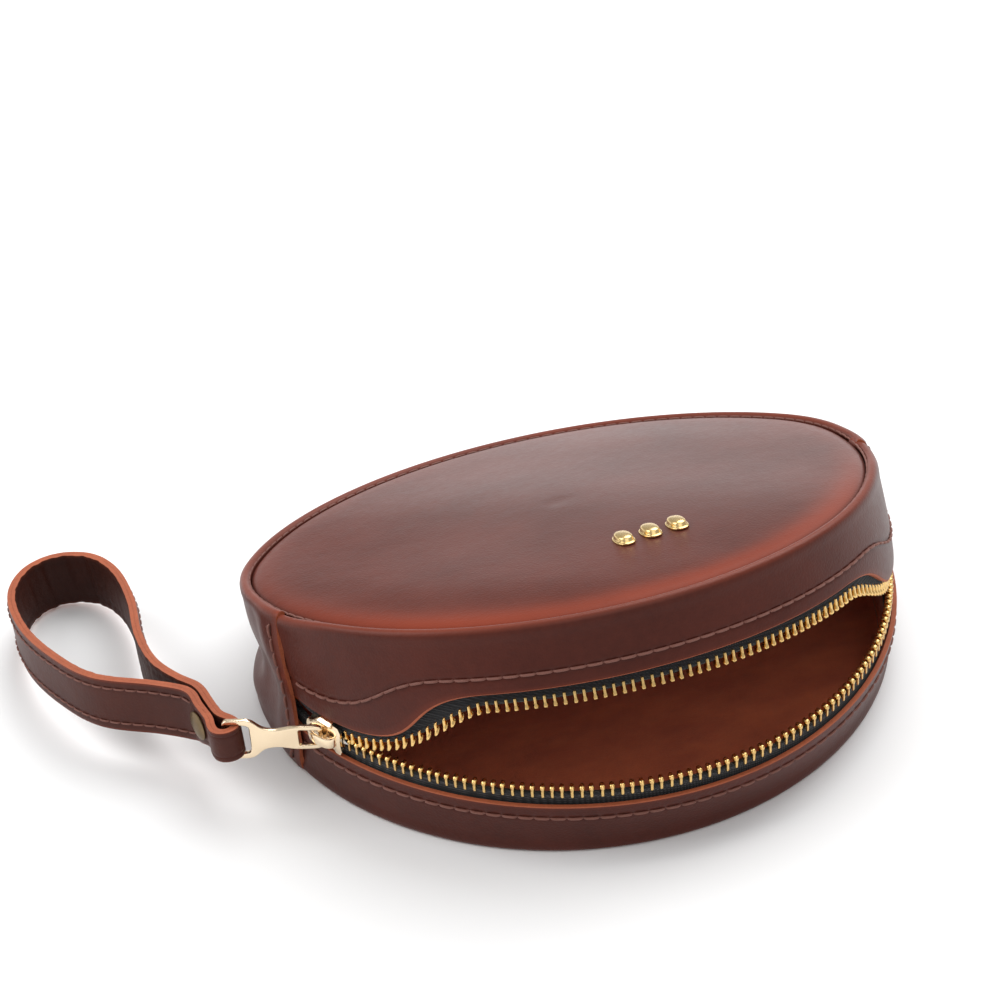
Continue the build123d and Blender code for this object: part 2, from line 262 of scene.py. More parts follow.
def joined(name, parts, materials):
    """One object from (points, faces) lists, or (points, faces, material index)."""
    points, faces, indices, start = [], [], [], 0
    for part in parts:
        points.append(np.asarray(part[0], float))
        faces += [[start + i for i in f] for f in part[1]]
        indices += [part[2] if len(part) > 2 else 0] * len(part[1])
        start += len(part[0])
    return outward(mesh_object(name, np.concatenate(points), faces, materials, indices))


# ---------------- materials
def new_material(name):
    material = bpy.data.materials.new(name)
    material.use_nodes = True
    tree = material.node_tree
    shader = tree.nodes["Principled BSDF"]
    return material, tree, shader


def noise(tree, coordinates, scale, detail=4.0, roughness=0.55, stretch=None):
    made = tree.nodes.new("ShaderNodeTexNoise")
    made.inputs["Scale"].default_value = scale
    made.inputs["Detail"].default_value = detail
    made.inputs["Roughness"].default_value = roughness
    if stretch:
        mapping = tree.nodes.new("ShaderNodeMapping")
        mapping.inputs["Scale"].default_value = stretch
        tree.links.new(coordinates, mapping.inputs["Vector"])
        coordinates = mapping.outputs["Vector"]
    tree.links.new(coordinates, made.inputs["Vector"])
    return made.outputs["Fac"]


def ramp(tree, factor, stops):
    made = tree.nodes.new("ShaderNodeValToRGB")
    elements = made.color_ramp.elements
    while len(elements) < len(stops):
        elements.new(0.5)
    for element, (position, color) in zip(elements, stops):
        element.position = position
        element.color = (*color, 1) if len(color) == 3 else color
    tree.links.new(factor, made.inputs["Fac"])
    return made.outputs["Color"]


def mix(tree, factor, a, b, blend_type="MIX"):
    made = tree.nodes.new("ShaderNodeMix")
    made.data_type = "RGBA"
    made.blend_type = blend_type
    for socket, value in ((made.inputs[0], factor), (made.inputs[6], a), (made.inputs[7], b)):
        if isinstance(value, (int, float)):
            socket.default_value = value
        elif isinstance(value, tuple):
            socket.default_value = (*value, 1)
        else:
            tree.links.new(value, socket)
    return made.outputs[2]


def math_node(tree, operation, a, b=None):
    made = tree.nodes.new("ShaderNodeMath")
    made.operation = operation
    for socket, value in ((made.inputs[0], a), (made.inputs[1], b)):
        if value is None:
            continue
        if isinstance(value, (int, float)):
            socket.default_value = value
        else:
            tree.links.new(value, socket)
    return made.outputs[0]


def scaled(tree, value, low, high):
    made = tree.nodes.new("ShaderNodeMapRange")
    made.inputs["To Min"].default_value = low
    made.inputs["To Max"].default_value = high
    tree.links.new(value, made.inputs["Value"])
    return made.outputs["Result"]


def bumps(tree, shader, *layers):
    """Stacks bump layers, each (height, strength, distance in metres)."""
    before = None
    for height, strength, distance in layers:
        bump = tree.nodes.new("ShaderNodeBump")
        bump.inputs["Strength"].default_value = strength
        bump.inputs["Distance"].default_value = distance
        tree.links.new(height, bump.inputs["Height"])
        if before:
            tree.links.new(before, bump.inputs["Normal"])
        before = bump.outputs["Normal"]
    tree.links.new(before, shader.inputs["Normal"])


def object_space(tree):
    return tree.nodes.new("ShaderNodeTexCoord").outputs["Object"]


def attribute(tree, name):
    made = tree.nodes.new("ShaderNodeAttribute")
    made.attribute_name = name
    return made.outputs["Fac"]


def cells(tree, coordinates, scale, feature="F1"):
    made = tree.nodes.new("ShaderNodeTexVoronoi")
    made.feature = feature
    made.inputs["Scale"].default_value = scale
    tree.links.new(coordinates, made.inputs["Vector"])
    return made.outputs["Distance"]


def leather(name, dark, mid, red, roughness=(0.36, 0.5), grain=0.22, shine=(0.16, 0.16)):
    """Smooth full-grain leather: cloudy dye, fine pebble and pores, lighter orange where 'burnish' is 1
    (burnishing with a painted highlight), painted shade where 'shade' is 1 and waxed to the higher shine
    where 'gloss' is 1."""
    material, tree, shader = new_material(name)
    space = object_space(tree)
    clouds = noise(tree, space, 26, 5, 0.6)
    fine = noise(tree, space, 420, 6, 0.62)
    color = ramp(tree, clouds, [(0.32, dark), (0.68, mid)])
    mottled = mix(tree, scaled(tree, fine, 0.0, 0.35), color, red)
    # Crests and edges turn a lighter orange (burnishing with a painted highlight); where the shade
    # attribute is high the colour is darkened as painted shade.
    wear_and_highlight = math_node(tree, "MULTIPLY", attribute(tree, "burnish_and_highlight"), scaled(tree, clouds, 0.55, 1.25))
    shaded = mix(tree, wear_and_highlight, mottled, tuple(1.5 * c for c in red))
    deep = mix(tree, attribute(tree, "shade"), shaded, tuple(0.35 * c for c in dark))
    tree.links.new(deep, shader.inputs["Base Color"])
    tree.links.new(scaled(tree, fine, *roughness), shader.inputs["Roughness"])
    tree.links.new(scaled(tree, attribute(tree, "gloss"), *shine), shader.inputs["Specular IOR Level"])
    pebble = cells(tree, space, 1300)
    pores = noise(tree, space, 2600, 2, 0.5)
    pull = noise(tree, space, 90, 3, 0.5)
    bumps(tree, shader, (pull, 0.12, 0.0012), (pebble, grain, 0.00025), (pores, 0.12, 0.0001))
    return material


def raw_edge(name, light, deep):
    """Cut edge of veg-tanned leather: fibrous, burnt orange."""
    material, tree, shader = new_material(name)
    space = object_space(tree)
    fibres = noise(tree, space, 900, 6, 0.7)
    patches = noise(tree, space, 120, 3, 0.5)
    color = mix(tree, scaled(tree, fibres, 0.0, 1.0), light, deep)
    color = mix(tree, scaled(tree, patches, 0.0, 0.55), color, tuple(0.55 * c for c in deep))
    tree.links.new(color, shader.inputs["Base Color"])
    tree.links.new(scaled(tree, fibres, 0.55, 0.85), shader.inputs["Roughness"])
    bumps(tree, shader, (fibres, 0.5, 0.0003))
    return material


def flesh(name, light, deep):
    """Inner, unfinished side of the leather: short nap with faint veins."""
    material, tree, shader = new_material(name)
    space = object_space(tree)
    nap = noise(tree, space, 1500, 5, 0.75)
    veins = noise(tree, space, 38, 6, 0.65, (1, 2.2, 1))
    color = ramp(tree, veins, [(0.3, deep), (0.7, light)])
    color = mix(tree, scaled(tree, nap, 0.0, 0.45), color, tuple(0.5 * c for c in deep))
    tree.links.new(color, shader.inputs["Base Color"])
    shader.inputs["Roughness"].default_value = 0.82
    shader.inputs["Sheen Weight"].default_value = 0.25
    shader.inputs["Sheen Roughness"].default_value = 0.5
    bumps(tree, shader, (veins, 0.2, 0.001), (nap, 0.55, 0.0003))
    return material


def woven(name, color_a, color_b, pitch):
    """Tightly woven tape: crossed ribs with loose fuzz."""
    material, tree, shader = new_material(name)
    space = object_space(tree)
    waves = []
    for stretch in ((1, 1, 0.15), (0.15, 0.15, 1)):
        mapping = tree.nodes.new("ShaderNodeMapping")
        mapping.inputs["Scale"].default_value = stretch
        tree.links.new(space, mapping.inputs["Vector"])
        wave = tree.nodes.new("ShaderNodeTexWave")
        wave.bands_direction = "DIAGONAL"
        wave.inputs["Scale"].default_value = 0.5 / pitch
        wave.inputs["Distortion"].default_value = 1.2
        tree.links.new(mapping.outputs["Vector"], wave.inputs["Vector"])
        waves.append(wave.outputs["Fac"])
    weave = math_node(tree, "MULTIPLY", *waves)
    tree.links.new(mix(tree, weave, color_a, color_b), shader.inputs["Base Color"])
    shader.inputs["Roughness"].default_value = 0.88
    shader.inputs["Sheen Weight"].default_value = 0.15
    fuzz = noise(tree, space, 3000, 2)
    bumps(tree, shader, (weave, 0.7, 0.0003), (fuzz, 0.3, 0.0001))
    return material


def metal(name, color, tarnish, roughness=(0.16, 0.3), amount=0.25, scratch=0.08):
    """Plated or polished metal with faint tarnish in patches and fine scratches."""
    material, tree, shader = new_material(name)
    space = object_space(tree)
    patches = noise(tree, space, 260, 5, 0.6)
    lines = noise(tree, space, 700, 4, 0.6, (1, 1, 9))
    tinted = mix(tree, scaled(tree, patches, 0.0, amount * 2), color, tarnish)
    tree.links.new(tinted, shader.inputs["Base Color"])
    tree.links.new(scaled(tree, lines, *roughness), shader.inputs["Roughness"])
    shader.inputs["Metallic"].default_value = 1.0
    bumps(tree, shader, (lines, scratch, 0.0001))
    return material


def thread(name, color, light):
    """Waxed thread: twisted strands."""
    material, tree, shader = new_material(name)
    space = object_space(tree)
    strands = noise(tree, space, 2400, 3, 0.5, (1, 1, 3))
    tree.links.new(mix(tree, scaled(tree, strands, 0.0, 0.8), color, light), shader.inputs["Base Color"])
    shader.inputs["Roughness"].default_value = 0.6
    bumps(tree, shader, (strands, 0.5, 0.0002))
    return material


panel_leather = leather(
    "panel_leather", (0.060, 0.0165, 0.0125), (0.100, 0.029, 0.022), (0.150, 0.029, 0.015),
    roughness=(0.27, 0.42), grain=0.16, shine=(0.05, 0.46))
band_leather = leather(
    "band_leather", (0.044, 0.0105, 0.0075), (0.070, 0.0165, 0.0115), (0.130, 0.026, 0.013),
    roughness=(0.30, 0.45), grain=0.18)
strap_leather = leather(
    "strap_leather", (0.035, 0.011, 0.009), (0.062, 0.019, 0.014), (0.115, 0.025, 0.013))
lining_leather = leather(
    "strap_lining", (0.020, 0.006, 0.0045), (0.045, 0.013, 0.009), (0.085, 0.020, 0.010),
    roughness=(0.45, 0.62), grain=0.35)
cut_edge = raw_edge("raw_edge", (0.50, 0.125, 0.040), (0.27, 0.055, 0.020))
flesh_side = flesh("flesh_side", (0.62, 0.135, 0.042), (0.40, 0.075, 0.024))
tape_fabric = woven("zip_tape", (0.004, 0.004, 0.005), (0.022, 0.022, 0.024), 0.0007)
zip_brass = metal("zip_brass", (0.86, 0.58, 0.23), (0.52, 0.30, 0.09), (0.14, 0.30), 0.2)
stud_brass = metal("stud_brass", (0.80, 0.58, 0.26), (0.40, 0.26, 0.10), (0.16, 0.32), 0.22)
slider_gold = metal("slider_gold", (0.93, 0.76, 0.54), (0.74, 0.54, 0.33), (0.12, 0.24), 0.15)
nose_steel = metal("nose_steel", (0.62, 0.61, 0.60), (0.40, 0.38, 0.36), (0.15, 0.3))
rivet_brass = metal("rivet_brass", (0.26, 0.18, 0.09), (0.10, 0.07, 0.04), (0.3, 0.5), 0.45)
seam_thread = thread("seam_thread", (0.105, 0.030, 0.020), (0.26, 0.10, 0.07))


# ---------------- case leather
WALL_TOP = [(-3.3, 47.6), (-3.35, 48.8), (-3.0, 49.6), (-2.3, 50.15), (-1.5, 50.3), (-0.7, 50.1),
            (-0.1, 49.5), (0.2, 48.6), (0.22, 47.4), (0.05, 46.0)]
STITCH_Z = 35.3              # closed height of the upper stitch row; the lower one mirrors it


def stitch_dip(z):
    """The leather sinks under both stitch rows."""
    low = CLOSED_HEIGHT - STITCH_Z
    return -0.28 * (np.exp(-(((z - STITCH_Z) / 0.7) ** 2)) + np.exp(-(((z - low) / 0.7) ** 2)))


def band_profile(top):
    """Closed outline of a band, as (offset, z, material of the segment that starts there)."""
    heights = np.concatenate([np.linspace(45, 37.5, 6), np.linspace(36.9, 33.7, 9), np.linspace(33, 31, 4)])
    outer = [(o, z, 0) for o, z in WALL_TOP] + [(stitch_dip(z), z, 0) for z in heights]
    edge = [(0.0, 30.75, 1), (-0.25, 30.5, 1), (-1.45, 30.5, 1), (-1.7, 30.8, 2)]
    inner = [(-1.7, z, 2) for z in (33, 36, 39, 42, 45, 47)] + [(-2.4, 48.0, 2)]
    profile = outer + edge + inner
    if top:
        return profile
    return [(o, mirrored(z), m) for o, z, m in profile]


def lip_highlight_and_wear(z):
    """Lighter orange on the crest of a lip and at a zip edge: burnishing with a painted highlight."""
    crest = np.exp(-(((z - 50.2) / 0.9) ** 2)) * 0.75
    edge = 0.35 * np.exp(-(((z - 30.6) / 0.7) ** 2))
    return crest + edge


def span_bearings(side):
    """Bearings of the sections of a band or a tape."""
    return np.linspace(*SPANS[side], 106 if side else 211)


def make_band(name, side=0):
    """Lower band in one piece (side 0), or a half of the upper one."""
    top = side != 0
    offsets, heights, strip = zip(*band_profile(top))
    b, o = np.meshgrid(span_bearings(side), offsets, indexing="ij")
    z = np.broadcast_to(heights, b.shape)
    ends = 0.9 * smooth((abs(b) - 79) / 3)
    points = wall_points(b, o - ends, z, base=not top)
    if top:
        points = bent(points, BAND_BEND[side])
    band = loft_mesh(name, points, [band_leather, cut_edge, flesh_side], strip, cap=1)
    high = z if top else CLOSED_HEIGHT - z
    # The lip's crest and the zip edge are painted lighter (burnishing with a painted highlight); the inner
    # face of the lip just under its crest is painted darker (painted shade).
    paint(band, "burnish_and_highlight", lip_highlight_and_wear(high))
    paint(band, "shade", 0.5 * np.exp(-(((high - 48.4) / 0.5) ** 2)) * (o < -2.5))
    return band


def wall_profile():
    """Closed outline of the back wall over its whole height."""
    top = [(o, z, 0) for o, z in WALL_TOP]
    middle = [(0.0, z, 0) for z in np.linspace(44.5, 5.5, 27)]
    bottom = [(o, mirrored(z), 0) for o, z in reversed(WALL_TOP)]
    inner = [(-2.4, 2.0, 2)] + [(-1.7, z, 2) for z in np.linspace(3.5, 46.5, 27)] + [(-2.4, 48.0, 2)]
    return top + middle + bottom + inner


def seam_reach(z, side):
    """Bearing of one front edge of the back wall: it swings forward at the height of the zip."""
    return SEAM_BEARING[side] - 1.6 * np.exp(-(((z - PIVOT_Z) / 10) ** 2))


def make_back_wall():
    """Back wall, from one front edge round the back to the other, lapped over the ends of the bands."""
    offsets, heights, strip = zip(*wall_profile())
    spread = np.linspace(0, 1, 250)
    s, o = np.meshgrid(spread, offsets, indexing="ij")
    z = np.broadcast_to(heights, s.shape)
    first, last = seam_reach(z, 1), 360 - seam_reach(z, -1)
    b = first + s * (last - first)
    to_edge = np.minimum(b - first, last - b)
    lap = 1.9 * (1 - smooth((to_edge - 4.5) / 7)) * np.exp(-(((z - PIVOT_Z) / 23.5) ** 8))
    rounding = -0.45 * np.exp(-((to_edge / 0.35) ** 2)) * (o > -1)
    points = bent(wall_points(b, o + lap + rounding, z), WALL_BEND)
    wall = loft_mesh("back_wall", points, [band_leather, cut_edge, flesh_side], strip, cap=1)
    # Lips and the lapped front edges are painted lighter (burnishing with a painted highlight); the crease
    # at the zip's height is painted darker (painted shade).
    lips = np.maximum(lip_highlight_and_wear(z), lip_highlight_and_wear(CLOSED_HEIGHT - z) * (z < 10))
    paint(wall, "burnish_and_highlight", lips + 0.5 * np.exp(-((to_edge / 0.8) ** 2)))
    paint(wall, "shade", 0.4 * np.exp(-(((z - PIVOT_Z) / 3) ** 2)) * smooth((to_edge - 20) / 30))
    return wall


def panel_height(reach, edge):
    """Crown of the top panel: reach is 0 at the middle and 1 at the seam, edge is mm from the seam."""
    crown = 3.3 * (1 - reach**2)
    puff = 2.0 * (1 - np.exp(-edge / 1.7))
    return CLOSED_HEIGHT - 1.9 + puff + crown


PANEL_MIDDLE_Y = -7.0
PANEL_INSET = 3.35           # the seam runs this far inside the plan


def make_panel(name, top):
    """Crowned lid panel or flat floor panel, as a skin and a flesh side joined at the rim."""
    rows, columns = 46, 300
    t = np.linspace(0, 1, rows + 1)[1:]
    reach = 1 - (1 - t) ** 1.9
    bearings = np.arange(columns) * 360 / columns
    r, b = np.meshgrid(reach, bearings, indexing="ij")
    ex, ey = plan(b, -PANEL_INSET)
    x, y = ex * r, PANEL_MIDDLE_Y + (ey - PANEL_MIDDLE_Y) * r
    edge = (1 - r) * np.hypot(ex, ey - PANEL_MIDDLE_Y)
    if top:
        sway = 0.45 * np.sin(x / 23 + 0.6) * np.cos(y / 31 - 0.3) + 0.3 * np.sin((x + y) / 17 + 2)
        z = panel_height(r, edge) + sway * smooth(edge / 30)
        centre_z = panel_height(0, 90) + 0.2
    else:
        z = 0.9 - 0.88 * (1 - np.exp(-edge / 1.2)) + 0 * x
        centre_z = FLOOR_GAP
    sign = -1 if top else 1
    skin = np.stack([x, y, z], -1).reshape(-1, 3)
    back = skin + [0, 0, sign * LEATHER]
    centre = np.array([[0, PANEL_MIDDLE_Y, centre_z]])
    points = np.concatenate([centre, skin, centre + [0, 0, sign * LEATHER], back])
    second = 1 + rows * columns
    faces, indices = [], []
    for start, m in ((0, 0), (second, 2)):
        fan = [[start, start + 1 + j, start + 1 + (j + 1) % columns] for j in range(columns)]
        ring = grid_faces(rows, columns, wrap_columns=True, start=start + 1)
        faces += fan + ring
        indices += [m] * (len(fan) + len(ring))
    last = 1 + (rows - 1) * columns
    for j in range(columns):
        here, there = last + j, last + (j + 1) % columns
        faces.append([here, there, second + there, second + here])
        indices.append(0)
    if top:
        points = opened(points)
    piece = outward(mesh_object(name, points, faces, [panel_leather, cut_edge, flesh_side], indices))
    # A lighter band just inside the seam, strongest at the front: a painted highlight on the puffed edge,
    # partly burnishing. The seam groove is painted darker as painted shade.
    frontness = smooth((-y - 5) / 70)
    seam_highlight_and_wear = np.exp(-((edge - 3.0) / 6.5) ** 2) * (0.25 + 0.6 * frontness)
    groove = np.exp(-(edge / 0.9) ** 2)
    waxed = smooth((x + 75) / 110) * smooth((y + 92) / 75)
    paint(piece, "burnish_and_highlight", np.concatenate([[0], seam_highlight_and_wear.ravel(), [0], seam_highlight_and_wear.ravel()]))
    paint(piece, "shade", 0.8 * np.concatenate([[0], groove.ravel(), [0], groove.ravel()]))
    paint(piece, "gloss", np.concatenate([[1], waxed.ravel(), [0], 0 * waxed.ravel()]))
    return piece


# ---------------- thread
def stitch_row(name, path, normals, radius=0.45, pitch=STITCH_PITCH, sink=0.7, lift=0.36):
    """Separate stitches along a dense path; each dives into the leather at both ends."""
    steps = np.linalg.norm(np.diff(path, axis=0), axis=1)
    along = np.concatenate([[0], np.cumsum(steps)])
    count = int(along[-1] / pitch)
    parts = []
    for i in range(count):
        t = np.linspace(0.03, 0.97, 9)
        at = (i + t) * along[-1] / count
        p = np.stack([np.interp(at, along, path[:, k]) for k in range(3)], -1)
        n = np.stack([np.interp(at, along, normals[:, k]) for k in range(3)], -1)
        n = unit(n)
        arch = lift - (lift + sink) * (2 * t[:, None] - 1) ** 6
        p = p + n * arch
        parts.append(tube(p, n, radius * (1 - 0.25 * (2 * t - 1) ** 4)))
    return joined(name, parts, [seam_thread])


def tube(path, normals, radii, sides=7):
    """Points and faces of a closed tube along a short path."""
    forward = unit(np.gradient(path, axis=0))
    side = unit(np.cross(forward, normals))
    up = np.cross(side, forward)
    a = around(sides)
    radii = np.broadcast_to(radii, len(path))
    rings = path[:, None] + radii[:, None, None] * (
        np.cos(a)[None, :, None] * side[:, None] + np.sin(a)[None, :, None] * up[:, None])
    return rings.reshape(-1, 3), solid_faces(len(path), sides)


def wall_stitches(name, z, side=0):
    """Row along a band, at a height of the closed case."""
    top = side != 0
    low, high = SPANS[side]
    bearings = np.linspace(max(low, 2.0 - SEAM_BEARING[-1]), min(high, SEAM_BEARING[1] - 2.0), 600)
    outer = wall_points(bearings, stitch_dip(z) + 0.1, z + 0 * bearings, base=not top)
    proud = wall_points(bearings, stitch_dip(z) + 1.1, z + 0 * bearings, base=not top)
    if top:
        outer, proud = bent(outer, BAND_BEND[side]), bent(proud, BAND_BEND[side])
    return stitch_row(name, outer, proud - outer)


def end_seam_stitches(name, side):
    """Row down the back wall's lapped end."""
    z = np.linspace(46.5, 4.0, 200)
    b = side * (seam_reach(z, side) + 1.9)
    b = np.where(b < 0, b + 360, b)
    outer = bent(wall_points(b, 1.75 + 0 * z, z), WALL_BEND)
    proud = bent(wall_points(b, 2.75 + 0 * z, z), WALL_BEND)
    return stitch_row(name, outer, proud - outer, pitch=4.2)


def panel_stitches(name):
    """Thread that shows as short ticks in the groove round the top panel."""
    b = np.linspace(0, 360, 1400)
    x, y = plan(b, -3.0)
    p = opened(np.stack([x, y, 49.15 + 0 * x], -1))
    up = opened(np.stack([x, y, 50.15 + 0 * x], -1)) - p
    return stitch_row(name, p, up, radius=0.34, pitch=4.4, sink=0.5, lift=0.1)


# ---------------- zip
def zip_place(bearing, radial, z, side):
    """A point of the zip: radial is mm outwards from the tape's middle. The tape keeps to its own
    radius where the wall bulges by WALL_BULGE."""
    base_offset = TAPE_RADIUS - CASE_RADIUS - WALL_BULGE
    p = wall_points(bearing, base_offset + radial, z, base=side == 0)
    return bent(p, ZIP_BEND[side]) if side else p


def make_tape(name, side=0):
    """Tape with a bead along its tooth side and a strip hidden behind the leather."""
    top = side != 0
    tooth_side = [(0.3, 28.6), (0.75, 27.9), (0.8, 27.2), (0.45, 26.7), (-0.45, 26.7), (-0.8, 27.2),
                  (-0.75, 27.9), (-0.3, 28.6)]
    hidden = [(-0.3, z) for z in (30, 31.5, 33, 35, 37)] + [(0.3, z) for z in (37, 35, 33, 31.5, 30)]
    offsets, heights = zip(*(tooth_side + hidden))
    b, o = np.meshgrid(span_bearings(side), offsets, indexing="ij")
    z = np.broadcast_to([z if top else CLOSED_HEIGHT - z for z in heights], b.shape)
    return loft_mesh(name, zip_place(b, o, z, side), [tape_fabric])


TOOTH_RINGS = [               # (distance from the tip, half length along the zip, half depth)
    (0.0, 0.36, 0.55), (0.12, 0.60, 0.95), (0.5, 0.78, 1.22), (1.1, 0.80, 1.28), (1.6, 0.66, 1.24),
    (2.1, 0.58, 1.22), (3.3, 0.60, 1.26), (3.9, 0.56, 1.22), (4.05, 0.40, 0.95),
]


SLIDER_CLEAR = 5.6           # from the slider's middle to the first tooth
STOP_CLEAR = 4.2             # degrees from the end of the zip to the last tooth
TOOTH_OVERLAP = 0.9          # how far a tooth's tip passes the middle of the zip
TOOTH_WOBBLE = 0.08          # degrees


def tooth_shape(sides=12):
    """One brass tooth: bulbous head, waist and a clamp that closes on the tape's bead."""
    a = around(sides)
    rounded = np.stack([squared(np.cos(a), 0.75), squared(np.sin(a), 0.75)], -1)
    points = []
    for reach, half_along, half_depth in TOOTH_RINGS:
        nub = 0.22 * math.exp(-((reach - 0.75) / 0.5) ** 2)
        for u, v in rounded:
            points.append((u * half_along, v * half_depth + nub, reach))
    return np.array(points), solid_faces(len(TOOTH_RINGS), sides)


def make_teeth(name, side=0):
    """The lower row (side 0), or a half of the upper row, which sits half a pitch along."""
    shape, faces = tooth_shape()
    step = math.degrees(TOOTH_PITCH / TAPE_RADIUS)
    first = SLIDER_BEARING + math.degrees(SLIDER_CLEAR / TAPE_RADIUS)
    count = int((ZIP_END - STOP_CLEAR - first) / step)
    up = 1 if side else -1
    tip = PIVOT_Z - TOOTH_OVERLAP * up
    parts = []
    for i in range(count):
        bearing = first + (i + (0.5 if side else 0.0)) * step
        if side and (bearing > 0) != (side > 0):
            continue
        wobble = random.uniform(-TOOTH_WOBBLE, TOOTH_WOBBLE)
        b = bearing + np.degrees(shape[:, 0] / TAPE_RADIUS) + wobble
        parts.append((zip_place(b, shape[:, 1], tip + up * shape[:, 2], side), faces))
    return joined(name, parts, [zip_brass])


# ---------------- hardware
def on_slider(points):
    """From slider space (x along the zip, y outwards, z up; origin at the tape's middle) to the case."""
    a = math.radians(SLIDER_BEARING)
    along, out = np.array([math.cos(a), math.sin(a), 0]), np.array([math.sin(a), -math.cos(a), 0])
    p = np.asarray(points, float)
    origin = out * TAPE_RADIUS + [0, 0, PIVOT_Z]
    return origin + p[..., 0:1] * along + p[..., 1:2] * out + p[..., 2:3] * np.array([0, 0, 1.0])


def rounded_outline(corners, radius, steps=6):
    """A closed outline with each corner replaced by an arc-like curve."""
    out = []
    corners = np.array(corners, float)
    for before, p, after in zip(np.roll(corners, 1, 0), corners, np.roll(corners, -1, 0)):
        a, b = before - p, after - p
        reach = min(radius, 0.45 * np.linalg.norm(a), 0.45 * np.linalg.norm(b))
        start, end = p + a / np.linalg.norm(a) * reach, p + b / np.linalg.norm(b) * reach
        for k in range(steps + 1):
            t = k / steps
            out.append((1 - t) ** 2 * start + 2 * t * (1 - t) * p + t * t * end)
    return np.array(out)


def plate_from_loops(name, loops, thickness, bevel, material):
    """Flat plate with holes and rounded edges, in XY with its middle at z = 0, in millimetres."""
    curve = bpy.data.curves.new(name, "CURVE")
    curve.dimensions = "2D"
    curve.fill_mode = "BOTH"
    curve.extrude = (thickness / 2 - bevel) * MM
    curve.bevel_depth = bevel * MM
    curve.bevel_resolution = 3
    curve.offset = -bevel * MM
    for loop in loops:
        spline = curve.splines.new("POLY")
        spline.points.add(len(loop) - 1)
        for point, (x, y) in zip(spline.points, loop):
            point.co = (x * MM, y * MM, 0, 1)
        spline.use_cyclic_u = True
    holder = linked(name, curve)
    bpy.context.view_layer.update()
    mesh = bpy.data.meshes.new_from_object(holder.evaluated_get(bpy.context.evaluated_depsgraph_get()))
    bpy.data.objects.remove(holder)
    mesh.materials.clear()
    mesh.materials.append(material)
    piece = linked(name, mesh)
    bm = bmesh.new()
    bm.from_mesh(mesh)
    bmesh.ops.remove_doubles(bm, verts=bm.verts, dist=1e-6)
    bmesh.ops.recalc_face_normals(bm, faces=bm.faces)
    bm.to_mesh(mesh)
    bm.free()
    mesh.polygons.foreach_set("use_smooth", [True] * len(mesh.polygons))
    mesh.set_sharp_from_angle(angle=math.radians(50))
    return piece


SLIDER_HALF_LENGTH = 7.0


def shield_half(u):
    """Half height of the slider's shield along its length (-1 closed end, +1 mouth)."""
    widening = 2.1 * smooth((u + 1.05) / 0.75)
    shoulder = 0.35 * np.exp(-((u - 0.72) / 0.25) ** 2)
    rounding = 1.5 * smooth((u - 0.86) / 0.16)
    return 2.5 + widening + shoulder - rounding


def slider_face(outer):
    """Ridged shield with flanges that turn in over the tape; closed shell points and faces."""
    us = np.linspace(-1, 1, 33)
    vs = np.linspace(-1, 1, 25)
    u, v = np.meshgrid(us, vs, indexing="ij")
    half = shield_half(u)
    bow = 1 - abs(v) ** 2.2
    ridge = 0.55 * (1 - abs(v)) * smooth((1 - abs(u)) * 3)
    flange = 1.5 * smooth((abs(v) - 0.86) / 0.14) * (1 - smooth((u - 0.35) / 0.2))
    y = 1.85 + 0.35 * bow + ridge - flange
    x = SLIDER_HALF_LENGTH * u - 0.7 * bow * (u < 0)
    z = half * v * (1 + 0.03 * smooth((abs(v) - 0.8) / 0.2))
    front = np.stack([x, y + 0.75, z], -1)
    back = np.stack([x * 0.985, y - 0.2, z * 0.93], -1)
    if not outer:
        front[..., 1] *= -1
        back[..., 1] *= -1
    rows, columns = u.shape
    count = rows * columns
    faces = grid_faces(rows, columns) + grid_faces(rows, columns, start=count)
    ring = ([i * columns for i in range(rows)] + [(rows - 1) * columns + j for j in range(1, columns)]
            + [i * columns + columns - 1 for i in range(rows - 2, -1, -1)]
            + [j for j in range(columns - 2, 0, -1)])
    faces += [[a, b, count + b, count + a] for a, b in zip(ring, ring[1:] + ring[:1])]
    return np.concatenate([front.reshape(-1, 3), back.reshape(-1, 3)]), faces


def make_slider_body():
    """Outer and inner shield."""
    parts = []
    for outer in (True, False):
        points, faces = slider_face(outer)
        parts.append((on_slider(points), faces))
    return joined("slider_shell", parts, [slider_gold])


def make_slider_nose():
    """Wedge between the rows at the slider's mouth."""
    outline = rounded_outline([(-2, -1.2), (4.5, -2.1), (9.3, 0), (4.5, 2.1), (-2, 1.2)], 1.0)
    ys = [-1.7, -1.45, 1.45, 1.7]
    sizes = [0.86, 1.0, 1.0, 0.86]
    rings = np.array([[(x * s + 3.5 * (1 - s), y, z * s) for x, z in outline] for y, s in zip(ys, sizes)])
    faces = solid_faces(len(ys), len(outline))
    return joined("slider_nose", [(on_slider(rings.reshape(-1, 3)), faces)], [nose_steel])


def make_bridge():
    """Arch that holds the pull: a flat bar bent over the ridge of the slider."""
    a = np.linspace(0, math.pi, 25)
    path = np.stack([-5.0 * np.cos(a), 2.55 + 3.5 * np.sin(a) ** 0.55, 0 * a], -1)
    forward = unit(np.gradient(path, axis=0))
    normal = np.stack([-forward[:, 1], forward[:, 0], 0 * a], -1)
    k = around(12)
    width = (1.75 * squared(np.cos(k), 0.5))[None, :, None] * np.array([0, 0, 1.0])
    thick = (0.55 * squared(np.sin(k), 0.7))[None, :, None] * normal[:, None]
    rings = path[:, None] + thick + width
    faces = solid_faces(len(path), len(k))
    return joined("slider_bridge_bar", [(on_slider(rings.reshape(-1, 3)), faces)], [slider_gold])


